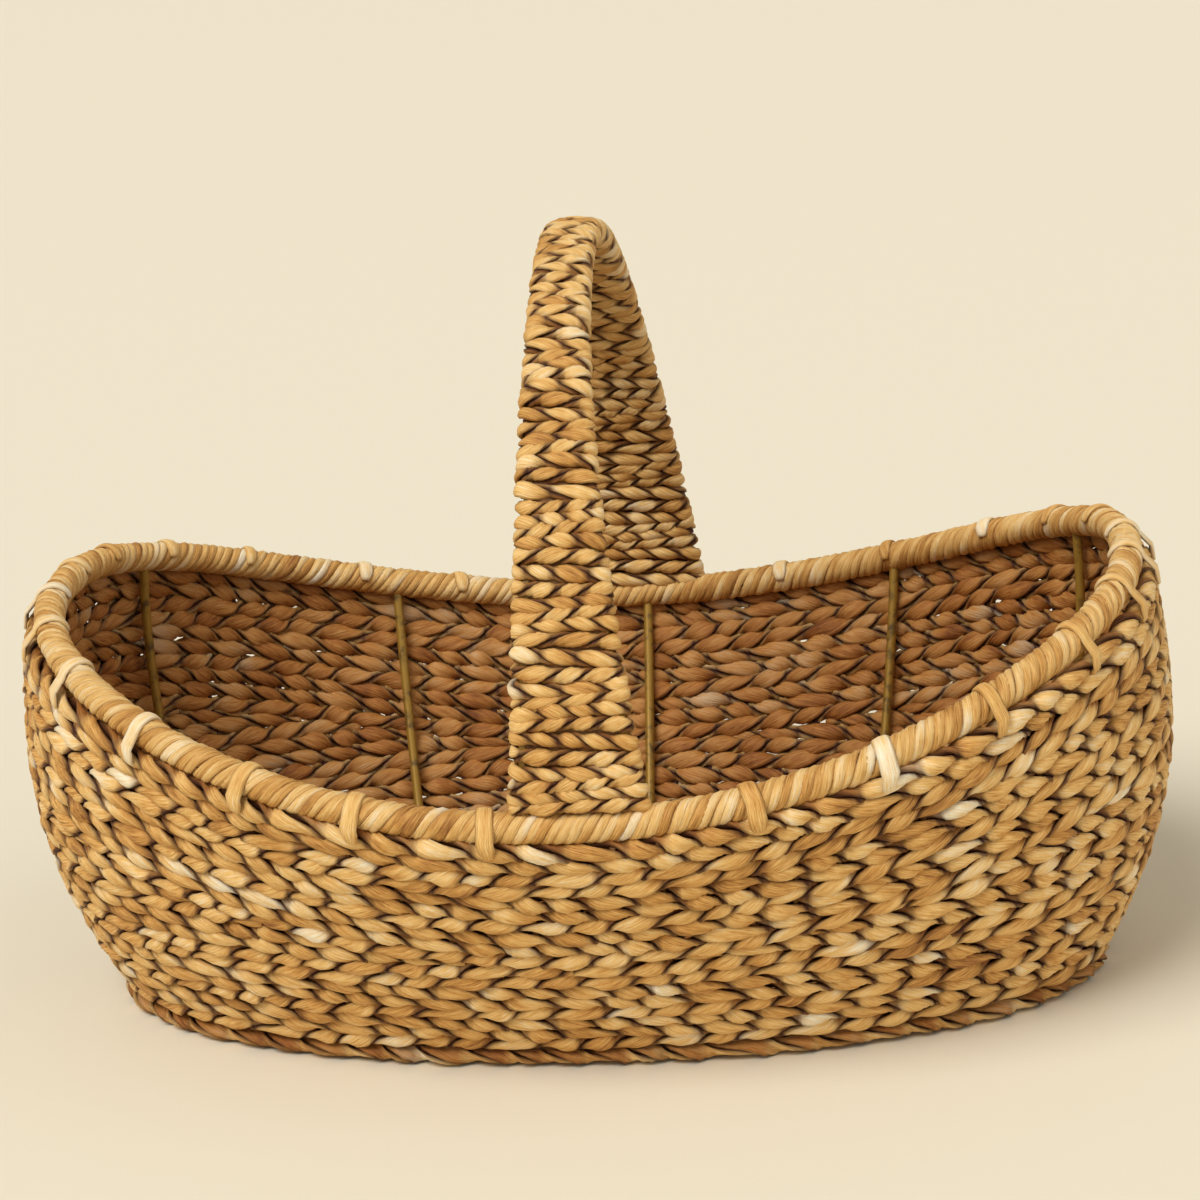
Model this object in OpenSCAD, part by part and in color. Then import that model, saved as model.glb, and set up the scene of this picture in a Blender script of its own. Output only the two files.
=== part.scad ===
// Trug garden basket: a welded wire frame, an oval woven body and a tall woven strap handle.
// The basket stands on the floor at z = 0. Its length runs along X and its handle spans Y.

/* [Rim] */
// Half the length of the rim wire, to the middle of the wire
rim_a = 270; // [240:5:300]
// Half the width of the rim wire, to the middle of the wire
rim_b = 190; // [170:5:210]
// Squareness of the rim seen from above, where 2 is a plain oval
rim_square = 2.35; // [2.1:0.05:2.8]
// Height of the rim wire at the middle of the long sides
rim_low = 147; // [120:1:180]
// Height of the rim wire at the two ends
rim_high = 217; // [185:1:250]
// Outside radius of the bound roll round the rim wire
roll_r = 8; // [7:0.5:10]

/* [Base] */
// Half the length of the base ring, to the middle of the wire
base_a = 244; // [220:2:260]
// Half the width of the base ring, to the middle of the wire
base_b = 118; // [100:2:140]
// Squareness of the base seen from above
base_square = 2.1; // [2:0.05:2.6]
// Thickness of the woven base
base_t = 9; // [8:0.5:12]
// Radius on the lower edge of the woven base
base_edge_r = 5; // [3:0.5:5.5]

/* [Woven wall] */
// Thickness of the woven wall
wall_t = 10; // [9:0.5:12]
// How far the wall swells outwards at the two ends
end_swell = 21; // [5:1:26]
// How far the wall swells outwards at the middle of the long sides
side_swell = 5; // [2:1:10]
// Number of woven courses, drawn as ridges
courses = 17; // [12:1:20]
// Depth of the groove between two courses
groove = 1.4; // [0.5:0.1:2]

/* [Wire frame] */
// Thickness of every wire
wire_d = 5; // [4:0.5:5]
// Distance between the three upright ribs on each long side
rib_spacing = 140; // [110:5:160]
// Distance of the end ribs from the middle of the basket
end_rib_x = 250; // [225:5:255]

/* [Handle] */
// How far the handle and the middle ribs stand from the middle of the length
handle_x = 12; // [0:1:20]
// Sideways lean of the handle at its top
handle_lean = -8; // [-12:1:12]
// Height of the middle of the strap at its top
handle_h = 386; // [340:2:420]
// Roundness of the arch, where 2 is a half ellipse
arch_square = 1.9; // [1.8:0.05:2.2]
// Width of the strap at its feet
foot_w = 66; // [56:1:74]
// Width of the strap at its top
grip_w = 29; // [27:1:36]
// How fast the strap narrows above its feet
taper = 1.35; // [1:0.05:1.6]
// Thickness of the strap at its feet
foot_t = 13; // [12:0.5:14]
// Thickness of the strap at its top
grip_t = 15; // [13:0.5:17]
// Distance from the edge of the strap to the middle of its wire
wire_inset = 6.5; // [6:0.5:8]

/* [Stitches] */
// Number of stitches that tie the roll to the wall
stitches = 28; // [16:2:32]
// Width of a stitch
stitch_w = 7; // [5:0.5:9]
// Thickness of a stitch
stitch_t = 1.4; // [1:0.1:1.6]
// How far a stitch reaches below the middle of the roll
stitch_drop = 14; // [10:1:18]

/* [Hidden] */

// Clearance between pieces that lie against each other
fit = 0.3;
// Clearance between the roll and what is curved round it
roll_fit = 0.6;
// Power of the saddle curve of the rim, and of the swelling towards the ends
saddle_power = 2;
swell_power = 3;
// Power that lifts the widest part of the wall when it is under 1
swell_lift = 0.9;
// Share of the wall's swelling that a rib follows
rib_share = 0.66;
// Number of points round the basket, the base ring, a wire inside the weave, and the roll
round_n = 60;
wire_n = 8;
inner_wire_n = 6;
roll_n = 8;
// Number of lengths along the strap
strap_n = 36;
// Number of points up the inside of the wall
inside_n = 3;
// Where the wall's seat under the roll starts and ends, as angles below the level
seat_from = 80;
seat_to = 14;
seat_n = 3;
// How far the top of the wall lies below the middle of the roll, and how far it is rounded off
lip_drop = 2;
lip_round = 1.8;
// Angle over the roll at which a stitch starts and leaves it
stitch_from = 100;
stitch_to = 30;
// Turn in degrees, and its match along the arch, over which a direction is measured
small_turn = 1;
small_step = 0.001;

wire_r = wire_d / 2;
// Height of the middle of the base ring
ring_z = base_t + fit + wire_r;
// Distance from the frame to the inside and the outside of the wall
wall_in = wire_r + fit;
wall_out = wall_in + wall_t;

straw = [0.80, 0.62, 0.36];
pale_straw = [0.86, 0.71, 0.46];
dark_straw = [0.66, 0.47, 0.25];
gold_wire = [0.62, 0.45, 0.10];

function unit(v) = v / norm(v);
function mix(a, b, k) = a + (b - a) * k;
// Point at the angle t on a rounded square of half-size 1, where a square of 2 is a circle
function oval(t, square) =
    [cos(t), sin(t)] / pow(pow(abs(cos(t)), square) + pow(abs(sin(t)), square), 1 / square);
// Point at the angle t on a curve, on the straight chord between the two places nearest to it
function on_chord(curve, t) =
    let (step = 360 / round_n, i = floor(t / step))
    mix(curve(i * step), curve((i + 1) * step), t / step - i);

// Rim wire: place, direction, and the level direction that points outwards
function rim_height(x) = rim_low + (rim_high - rim_low) * pow(abs(x) / rim_a, saddle_power);
function rim_curve(t) =
    let (p = oval(t, rim_square))
    [rim_a * p[0], rim_b * p[1], rim_height(rim_a * p[0])];
function rim_at(t) = on_chord(function (a) rim_curve(a), t);
function rim_step(t) = rim_curve(t + small_turn / 2) - rim_curve(t - small_turn / 2);
function rim_way(t) = unit(rim_step(t));
function outwards(t) = unit(cross(rim_way(t), [0, 0, 1]));
// How much taller an upright cut through the sloping roll is than a square one
function steepness(t) = 1 / norm([rim_way(t)[0], rim_way(t)[1]]);
// Angle of the point on the back half of the rim that lies at x
function angle_at(x) =
    let (k = pow(abs(x) / rim_a, rim_square), t = atan(pow((1 - k) / max(k, 1e-12), 1 / rim_square)))
    x < 0 ? 180 - t : t;
// Angle of the point a distance d further along the rim
function along(t, d) = t + small_turn * d / norm(rim_step(t));

function base_curve(t) =
    let (p = oval(t, base_square))
    [base_a * p[0], base_b * p[1], ring_z];
function base_at(t) = on_chord(function (a) base_curve(a), t);

// Surface that the frame lies on, from 0 at the base ring to 1 at the rim, moved outwards by off
function swell(t, s) =
    mix(side_swell, end_swell, pow(abs(rim_at(t)[0]) / rim_a, swell_power))
        * sin(180 * pow(max(s, 0), swell_lift));
function shell_at(t, s, off) = mix(base_at(t), rim_at(t), s) + outwards(t) * (off + swell(t, s));
// Place up the surface that lies a distance d below the rim
function below_rim(t, d) = 1 - d / (rim_at(t)[2] - ring_z);

// Solid through rings of equal count. A looped one has no ends, and an open one gets flat ends.
module skin(rings, looped = false) {
    n = len(rings[0]);
    m = len(rings);
    points = [for (ring = rings) for (p = ring) p];
    sides = [for (i = [0:m - (looped ? 1 : 2)]) for (j = [0:n - 1])
        let (a = i * n, b = ((i + 1) % m) * n, k = (j + 1) % n)
        each [[a + j, b + j, b + k], [a + j, b + k, a + k]]];
    ends = looped ? [] : [
        for (j = [1:n - 2]) [0, j, j + 1],
        for (j = [1:n - 2]) [(m - 1) * n, (m - 1) * n + j + 1, (m - 1) * n + j]];
    polyhedron(points, concat(sides, ends), convexity = 10);
}

// Ring of points round a place, in the plane of two directions
function ring(place, right, up, r, n) =
    [for (k = [0:n - 1]) place + right * r * cos(360 * k / n) + up * r * sin(360 * k / n)];
function rim_ring(t, r, n) =
    let (out = outwards(t))
    ring(rim_at(t), cross(out, rim_way(t)), out, r, n);
// Angles of the places round the basket
places = [for (i = [0:round_n - 1]) 360 * i / round_n];

// Wires of the frame

module rim_wire() {
    color(gold_wire)
        skin([for (t = places) rim_ring(t, wire_r, inner_wire_n)], looped = true);
}

module base_ring() {
    color(gold_wire)
        skin([for (t = places)
            let (way = unit(base_curve(t + small_turn / 2) - base_curve(t - small_turn / 2)))
            ring(base_at(t), [0, 0, 1], cross(way, [0, 0, 1]), wire_r, wire_n)], looped = true);
}

// Straight wire between two places
module straight_wire(from, to) {
    v = to - from;
    color(gold_wire)
        translate(from)
            rotate([0, acos(v[2] / norm(v)), atan2(v[1], v[0])])
                cylinder(h = norm(v), r = wire_r, $fn = 32);
}

// Wire bent to an arc between two places, which rises by rise towards the side that out points to
module bent_wire(from, to, rise, out) {
    chord = norm(to - from);
    radius = (chord * chord / 4 + rise * rise) / (2 * rise);
    half = asin(chord / (2 * radius));
    up = unit(to - from);
    side = unit(out - up * (out * up));
    way = cross(side, up);
    centre = (from + to) / 2 + side * (rise - radius);
    turn = [[side[0], up[0], way[0], centre[0]],
        [side[1], up[1], way[1], centre[1]],
        [side[2], up[2], way[2], centre[2]],
        [0, 0, 0, 1]];
    color(gold_wire)
        multmatrix(turn)
            rotate([0, 0, -half])
                rotate_extrude(angle = 2 * half, $fn = 96)
                    translate([radius, 0])
                        circle(r = wire_r, $fn = 32);
}

// Rib at the angle t, from the top of the base ring to the underside of the rim wire
function rib_way(t) = unit(rim_at(t) - base_at(t));
module rib(t) {
    reach = rib_way(t) * (wire_d + fit);
    bent_wire(base_at(t) + reach, rim_at(t) - reach, rib_share * swell(t, 0.5), outwards(t));
}

rib_x = [-end_rib_x, handle_x - rib_spacing, handle_x, handle_x + rib_spacing, end_rib_x];
module rib_back(i) rib(angle_at(rib_x[i - 1]));
module rib_front(i) rib(-angle_at(rib_x[i - 1]));

module rib_back_1() rib_back(1);
module rib_back_2() rib_back(2);
module rib_back_3() rib_back(3);
module rib_back_4() rib_back(4);
module rib_back_5() rib_back(5);
module rib_front_1() rib_front(1);
module rib_front_2() rib_front(2);
module rib_front_3() rib_front(3);
module rib_front_4() rib_front(4);
module rib_front_5() rib_front(5);

// Wire across the base between the feet of a pair of ribs
module cross_wire(i) {
    t = angle_at(rib_x[i - 1]);
    foot = base_at(t);
    step = base_at(t + small_turn) - base_at(t - small_turn);
    reach = foot[1] - wire_r * (1 + abs(step[1] / step[0])) - fit;
    straight_wire([foot[0], -reach, ring_z], [foot[0], reach, ring_z]);
}

module cross_wire_left() cross_wire(2);
module cross_wire_middle() cross_wire(3);
module cross_wire_right() cross_wire(4);

// Strap of the handle: u runs from 0 at the front foot to 1 at the back foot
foot_z = rim_height(abs(handle_x) + foot_w / 2) + roll_r + fit;
function arch_at(u) =
    let (p = oval(180 * u, arch_square))
    [0, -rim_b * p[0], foot_z + (handle_h - foot_z) * p[1]];
function arch_rise(u) = (arch_at(u)[2] - foot_z) / (handle_h - foot_z);
function arch_way(u) = unit(arch_at(u + small_step) - arch_at(u - small_step));
// Direction that points out of the arch
function arch_out(u) = cross([1, 0, 0], arch_way(u));
function strap_w(u) = mix(grip_w, foot_w, pow(max(1 - arch_rise(u), 0), taper));
function strap_t(u) = mix(foot_t, grip_t, arch_rise(u));
function strap_middle(u) = arch_at(u) + [handle_x + handle_lean * arch_rise(u), 0, 0];
function strap_wire(u, side) = strap_middle(u) + [side * (strap_w(u) / 2 - wire_inset), 0, 0];
// Places along the strap
strap_places = [for (i = [0:strap_n]) i / strap_n];

module handle_wire(side) {
    // Ring of the wire over the rim wire, below an end of the strap
    function seat(u) =
        let (p = strap_wire(u, side))
        ring([p[0], p[1], rim_height(p[0]) + wire_d + fit], [1, 0, 0], -arch_out(u), wire_r, inner_wire_n);
    color(gold_wire)
        skin(concat(
            [seat(0)],
            [for (u = strap_places) ring(strap_wire(u, side), [1, 0, 0], -arch_out(u), wire_r, inner_wire_n)],
            [seat(1)]));
}

module handle_wire_left() handle_wire(-1);
module handle_wire_right() handle_wire(1);

// The strap's section has a channel for each wire. Half its outline and one channel have the same
// count of points, so that the ends close as two plain bands.
outline_square = 3;
half_n = 8;
function strap_outline(u) = [for (k = [0:2 * half_n - 1])
    let (p = oval(90 - 180 * k / half_n, outline_square))
    strap_middle(u) + [strap_w(u) / 2 * p[0], 0, 0] + arch_out(u) * strap_t(u) / 2 * p[1]];
function strap_channel(u, side) =
    let (n = half_n + 2, r = (wire_r + fit) / cos(180 / n))
    [for (k = [0:n - 1])
        let (a = 180 - 360 * (k + 1) / n)
        strap_wire(u, side) + [side * r * cos(a), 0, 0] + arch_out(u) * r * sin(a)];

module handle_weave() {
    outer = 2 * half_n;
    inner = half_n + 2;
    count = outer + 2 * inner + 1;
    points = [for (u = strap_places)
        each concat(strap_outline(u), strap_channel(u, 1), strap_channel(u, -1), [strap_middle(u)])];
    // Band of faces along the strap, for a closed run of n points that starts at first
    function band(first, n, flip) = [for (i = [0:strap_n - 1]) for (k = [0:n - 1])
        let (a = i * count + first, b = a + count, m = (k + 1) % n)
        each flip
            ? [[a + k, b + m, b + k], [a + k, a + m, b + m]]
            : [[a + k, b + k, b + m], [a + k, b + m, a + m]]];
    // Half of an end: from half the outline, closed through the middle, to one channel
    function end_band(row, first, rim, flip) = [for (k = [0:inner - 1])
        let (base = row * count, m = (k + 1) % inner,
            a = base + rim[k], b = base + rim[m], c = base + first + k, d = base + first + m)
        each flip ? [[a, c, d], [a, d, b]] : [[a, d, c], [a, b, d]]];
    right_rim = concat([for (k = [0:half_n]) k], [count - 1]);
    left_rim = concat([0], [for (k = [1:half_n]) outer - k], [count - 1]);
    faces = concat(
        band(0, outer, false), band(outer, inner, true), band(outer + inner, inner, false),
        end_band(0, outer, right_rim, false), end_band(0, outer + inner, left_rim, true),
        end_band(strap_n, outer, right_rim, true), end_band(strap_n, outer + inner, left_rim, false));
    color(pale_straw) polyhedron(points, faces, convexity = 10);
}

// Woven base: a plate with a rounded lower edge, and a groove under the first course of the wall
edge_n = 3;
base_layers = concat(
    [for (i = [0:edge_n]) let (a = 90 * i / edge_n) [base_edge_r * (1 - sin(a)), base_edge_r * (1 - cos(a))]],
    [[0, base_t - groove], [groove, base_t]]);
module base_weave() {
    color(dark_straw)
        skin([for (layer = base_layers)
            [for (t = places)
                let (p = base_at(t) + outwards(t) * (wall_out - layer[0]))
                [p[0], p[1], layer[1]]]]);
}

// Woven wall: its section runs down the outside over the courses, up the inside,
// and round the underside of the roll
course_steps = 2 * courses;
seat_r = roll_r + roll_fit;
function wall_section(t) =
    let (out = outwards(t),
        steep = steepness(t),
        top = rim_at(t),
        s_top = below_rim(t, lip_drop + lip_round),
        s_seat = below_rim(t, seat_r * steep),
        foot = base_at(t) + out * wall_in)
    concat(
        [for (i = [0:course_steps])
            let (p = shell_at(t, s_top * (1 - i / course_steps), wall_out - (i % 2 == 1 ? 0 : groove)))
            [p[0], p[1], i == course_steps ? base_t + fit : p[2]]],
        [[foot[0], foot[1], base_t + fit]],
        [for (i = [0:inside_n - 1]) shell_at(t, s_seat * (i + 0.5) / inside_n, wall_in)],
        [for (i = [0:seat_n - 1])
            let (a = -mix(seat_from, seat_to, i / (seat_n - 1)))
            top + out * seat_r * cos(a) + [0, 0, seat_r * steep * sin(a)]],
        [top + out * (wall_out - lip_round) - [0, 0, lip_drop]]);

module wall_weave() {
    color(straw)
        skin([for (t = places) wall_section(t)], looped = true);
}

// Binding round the rim wire, in lengths that leave room for each wire that meets the rim
joint_x = [-end_rib_x, handle_x - rib_spacing, strap_wire(0, -1)[0], handle_x,
    strap_wire(0, 1)[0], handle_x + rib_spacing, end_rib_x];
joints = concat([for (x = joint_x) -angle_at(x)], [for (i = [len(joint_x) - 1:-1:0]) angle_at(joint_x[i])]);
// Half the length of rim that a wire at the angle t needs, with more where it leans
function joint_half(t) = wire_r + fit + roll_r * abs(rim_way(t) * rib_way(t));

// Sleeve with an open bore, between two angles on the rim
module sleeve(from, to) {
    n = roll_n;
    bore_r = (wire_r + fit) / cos(180 / n);
    step = 360 / round_n;
    stops = concat([from], [for (i = [ceil(from / step + 0.1):1:floor(to / step - 0.1)]) i * step], [to]);
    steps = len(stops) - 1;
    points = [for (t = stops) each concat(rim_ring(t, roll_r, n), rim_ring(t, bore_r, n))];
    skin_faces = [for (i = [0:steps - 1]) for (k = [0:n - 1])
        let (a = i * 2 * n, b = a + 2 * n, m = (k + 1) % n)
        each [[a + k, b + k, b + m], [a + k, b + m, a + m],
            [a + n + k, b + n + m, b + n + k], [a + n + k, a + n + m, b + n + m]]];
    end_faces = [for (k = [0:n - 1])
        let (m = (k + 1) % n, z = steps * 2 * n)
        each [[k, m, n + m], [k, n + m, n + k],
            [z + k, z + n + m, z + m], [z + k, z + n + k, z + n + m]]];
    polyhedron(points, concat(skin_faces, end_faces), convexity = 10);
}

module rim_binding() {
    color(pale_straw)
        for (i = [0:len(joints) - 1]) {
            from = joints[i];
            to = i + 1 < len(joints) ? joints[i + 1] : joints[0] + 360;
            sleeve(along(from, joint_half(from)), along(to, -joint_half(to)));
        }
}

// Stitch over the outside of the roll and the first course, as a strip across the rim at the angle t
stitch_out = wall_out + fit + stitch_t / 2;
stitch_r = seat_r + stitch_t / 2;
module stitch(t) {
    top = rim_at(t);
    out = outwards(t);
    steep = steepness(t);
    path = concat(
        [for (i = [0:2])
            let (a = mix(stitch_from, stitch_to, i / 2))
            top + out * stitch_r * cos(a) + [0, 0, stitch_r * steep * sin(a)]],
        [top + out * stitch_out - [0, 0, lip_drop], shell_at(t, below_rim(t, stitch_drop), stitch_out)]);
    last = len(path) - 1;
    across = rim_way(t) * stitch_w / 2;
    skin([for (i = [0:last])
        let (way = unit(path[min(i + 1, last)] - path[max(i - 1, 0)]),
            thick = unit(cross(way, across)) * stitch_t / 2)
        [path[i] - across - thick, path[i] + across - thick,
            path[i] + across + thick, path[i] - across + thick]]);
}

// The handle's feet cover the stitches below them
module rim_stitches() {
    clear = foot_w / 2 + stitch_w;
    color(pale_straw)
        for (i = [0:stitches - 1]) {
            t = 360 * (i + 0.5) / stitches;
            if (abs(rim_at(t)[0] - handle_x) > clear) stitch(t);
        }
}

rim_wire();
base_ring();
rib_back_1();
rib_back_2();
rib_back_3();
rib_back_4();
rib_back_5();
rib_front_1();
rib_front_2();
rib_front_3();
rib_front_4();
rib_front_5();
cross_wire_left();
cross_wire_middle();
cross_wire_right();
handle_wire_left();
handle_wire_right();
base_weave();
wall_weave();
handle_weave();
rim_binding();
rim_stitches();
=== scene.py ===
"""Looks of the trug garden basket: every strand of the weave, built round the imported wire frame."""
import logging
import math
from dataclasses import dataclass, field
from enum import Enum

import bmesh
import bpy
import numpy as np
from mathutils import Matrix, Vector


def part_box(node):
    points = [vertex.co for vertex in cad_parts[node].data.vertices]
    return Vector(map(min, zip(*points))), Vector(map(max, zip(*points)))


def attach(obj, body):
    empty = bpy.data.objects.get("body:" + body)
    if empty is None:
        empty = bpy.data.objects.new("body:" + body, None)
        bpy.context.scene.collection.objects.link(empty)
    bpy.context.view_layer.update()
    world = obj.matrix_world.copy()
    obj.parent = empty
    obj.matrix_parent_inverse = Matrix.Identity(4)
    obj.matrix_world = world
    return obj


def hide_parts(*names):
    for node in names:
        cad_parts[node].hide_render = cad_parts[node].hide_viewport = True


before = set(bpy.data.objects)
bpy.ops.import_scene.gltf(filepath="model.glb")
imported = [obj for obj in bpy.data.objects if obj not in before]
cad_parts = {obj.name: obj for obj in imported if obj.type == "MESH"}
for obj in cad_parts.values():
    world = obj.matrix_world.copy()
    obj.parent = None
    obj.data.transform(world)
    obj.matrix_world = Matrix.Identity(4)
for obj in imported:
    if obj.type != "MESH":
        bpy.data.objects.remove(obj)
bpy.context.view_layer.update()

LOG = logging.getLogger("basket")
SEED = 7
MM = 0.001
TURN = 2 * math.pi
UV_NAME = "strand_uv"
Array = np.ndarray
Triple = tuple[float, float, float]


class Slot(Enum):
    """Material slots of the record, one kept by each bundle of woven strands."""

    WALL = "wall_seagrass"
    BASE = "base_seagrass"
    HANDLE = "handle_seagrass"
    BINDING = "binding"
    STITCH = "stitches"


class Twist(Enum):
    """Which way the two strands of a course turn round each other."""

    RIGHT = 1
    LEFT = -1


def unit(vectors: Array) -> Array:
    """Returns the vectors with a length of one."""
    return vectors / np.maximum(np.linalg.norm(vectors, axis=-1, keepdims=True), 1e-12)


def path_run(points: Array) -> Array:
    """Returns the distance run along a path at each of its points."""
    return np.concatenate([[0], np.cumsum(np.linalg.norm(np.diff(points, axis=0), axis=1))])


def end_fade(run: Array, length: float, stretch: float) -> Array:
    """Returns a share that is 1 along a path and falls to 0 at both ends.

    Args:
        run: Distances along the path.
        length: Length of the path.
        stretch: Length over which the share falls.

    Returns:
        One share for each distance.
    """
    return np.minimum(1, np.minimum(run, length - run) / stretch)


def oval(angle: Array, square: float) -> tuple[Array, Array]:
    """Returns points of a rounded square of half-size 1.

    Args:
        angle: Direction of each point from the middle.
        square: How square it is, where 2 is a circle.

    Returns:
        The x and the y of each point.
    """
    c, s = np.cos(angle), np.sin(angle)
    size = (np.abs(c) ** square + np.abs(s) ** square) ** (1 / square)
    return c / size, s / size


def smooth_noise(rng: np.random.Generator, place: Array, length: float, waves: int = 5) -> Array:
    """Returns slow seeded noise, about -1 to 1, along a strand.

    Args:
        rng: The seeded generator.
        place: Distances along the strand.
        length: Length of the shortest wave.
        waves: Number of waves that are added.

    Returns:
        One value for each place.
    """
    total = np.zeros_like(place)
    for k in range(1, waves + 1):
        total += np.sin(place * TURN / (length * k) + rng.uniform(0, TURN))
    return total / math.sqrt(waves)


def tones_along(rng: np.random.Generator, run: Array, knots: Array,
                pale_share: float, pale_lift: float) -> Array:
    """Returns the tone of a strand, which changes from one stretch of leaf to the next.

    Args:
        rng: The seeded generator.
        run: Distances along the strand.
        knots: Distances at which a new tone is drawn.
        pale_share: Share of the knots that are pale.
        pale_lift: How much paler those are.

    Returns:
        One tone for each distance.
    """
    tones = rng.uniform(0, 1, len(knots)) + (rng.uniform(0, 1, len(knots)) < pale_share) * pale_lift
    return np.interp(run, knots, tones)


@dataclass
class Shape:
    """The basket's own surface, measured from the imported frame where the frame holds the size.

    The rim wire's sides are flat, so its box is about a facet_gap narrower than the rod on each side.
    """

    wire_r: float = 2.5 * MM
    facet_gap: float = 0.3 * MM
    rim_square: float = 2.35
    base_square: float = 2.1
    end_swell: float = 21 * MM
    side_swell: float = 5 * MM
    swell_power: float = 3
    swell_lift: float = 0.9
    fit: float = 0.3 * MM
    wall_t: float = 10 * MM
    roll_r: float = 8 * MM
    angle_step: float = 0.008
    fine_points: int = 2000
    least_points: int = 4
    rim_a: float = field(init=False)
    rim_b: float = field(init=False)
    rim_low: float = field(init=False)
    rim_high: float = field(init=False)
    base_a: float = field(init=False)
    base_b: float = field(init=False)
    ring_z: float = field(init=False)
    wall_mid: float = field(init=False)

    def __post_init__(self) -> None:
        """Reads the sizes of the rim and of the base ring from the frame."""
        low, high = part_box("rim_wire")
        self.rim_a = high.x - self.wire_r + self.facet_gap
        self.rim_b = high.y - self.wire_r + self.facet_gap
        self.rim_low, self.rim_high = low.z + self.wire_r, high.z - self.wire_r
        low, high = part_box("base_ring")
        self.base_a, self.base_b = high.x - self.wire_r, high.y - self.wire_r
        self.ring_z = (low.z + high.z) / 2
        self.wall_mid = self.wire_r + self.fit + self.wall_t / 2

    def rim(self, t: Array) -> Array:
        """Returns the middle of the rim at the angles t."""
        x, y = oval(t, self.rim_square)
        z = self.rim_low + (self.rim_high - self.rim_low) * x ** 2
        return np.stack([self.rim_a * x, self.rim_b * y, z], -1)

    def base(self, t: Array) -> Array:
        """Returns the middle of the base ring at the angles t."""
        x, y = oval(t, self.base_square)
        return np.stack([self.base_a * x, self.base_b * y, 0 * x + self.ring_z], -1)

    def way(self, t: Array) -> Array:
        """Returns the direction of the rim at the angles t."""
        return unit(self.rim(t + self.angle_step) - self.rim(t - self.angle_step))

    def out(self, t: Array) -> Array:
        """Returns the level direction that points outwards at the angles t."""
        way = self.way(t)
        return unit(np.stack([way[..., 1], -way[..., 0], 0 * way[..., 0]], -1))

    def surface(self, t: Array, s: Array, off: float) -> Array:
        """Returns points of the wall.

        Args:
            t: Angles round the basket.
            s: Places up the wall, from 0 at the base ring to 1 at the rim.
            off: Distance outwards from the frame.

        Returns:
            One point for each angle.
        """
        share = (np.abs(self.rim(t)[..., 0]) / self.rim_a) ** self.swell_power
        most = self.side_swell + (self.end_swell - self.side_swell) * share
        swell = most * np.sin(math.pi * np.clip(s, 0, 1) ** self.swell_lift)
        slope = self.base(t) + (self.rim(t) - self.base(t)) * s[..., None]
        return slope + self.out(t) * (off + swell)[..., None]

    def height(self, t: Array) -> Array:
        """Returns the length of the wall's slope at the angles t."""
        return np.linalg.norm(self.rim(t) - self.base(t), axis=-1)

    def even_angles(self, start: float, stop: float, step: float) -> Array:
        """Returns angles whose points on the rim are evenly spaced.

        Args:
            start: The first angle.
            stop: The last angle.
            step: About how far apart the points are.

        Returns:
            The angles, with both ends.
        """
        fine = np.linspace(start, stop, self.fine_points)
        run = path_run(self.rim(fine))
        count = max(self.least_points, round(run[-1] / step))
        return np.interp(np.linspace(0, run[-1], count + 1), run, fine)


@dataclass
class Strand:
    """One strand as rings along its path: where it runs, how it lies and how it is coloured.

    At each point, tone says how pale the leaf is, a second value how much painted shade darkens it
    in its creases, along its edges and where it is hidden, and inner how far it faces the basket's
    interior, where painted shade darkens it too.
    """

    centre: Array
    side: Array
    face: Array
    half_w: Array
    half_t: Array
    tone: Array
    deep: Array
    closed: bool = False
    inner: Array | None = None

    def rings(self, turn: Array) -> Array:
        """Returns the points of the strand's section all along its path, at the angles in turn."""
        wide = self.side[:, None] * (self.half_w[:, None] * np.cos(turn))[..., None]
        thick = self.face[:, None] * (self.half_t[:, None] * np.sin(turn))[..., None]
        return (self.centre[:, None] + wide + thick).reshape(-1, 3)

    def faces(self, sides: int, start: int) -> tuple[list[list[int]], Array]:
        """Returns the strand's faces and where their corners lie on its UV map.

        Args:
            sides: Number of points of a ring.
            start: Number of the strand's first point in the mesh.

        Returns:
            The faces as lists of point numbers, and one UV place for each of their corners.
        """
        count = len(self.centre)
        rows = count if self.closed else count - 1
        i, k = np.meshgrid(np.arange(rows), np.arange(sides), indexing="ij")
        j, m = (i + 1) % count, (k + 1) % sides
        quads = np.stack([i * sides + k, i * sides + m, j * sides + m, j * sides + k], -1)
        faces = (quads.reshape(-1, 4) + start).tolist()
        run = path_run(self.centre)
        run = np.append(run, run[-1] + run[1])
        u0, u1, v0, v1 = run[i], run[i + 1], k / sides, (k + 1) / sides
        places = np.stack([u0, v0, u0, v1, u1, v1, u1, v0], -1).reshape(-1, 2)
        if not self.closed:
            last = start + (count - 1) * sides
            faces += [list(range(start, start + sides))[::-1], list(range(last, last + sides))]
            places = np.concatenate([places, np.zeros((2 * sides, 2))])
        return faces, places


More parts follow.
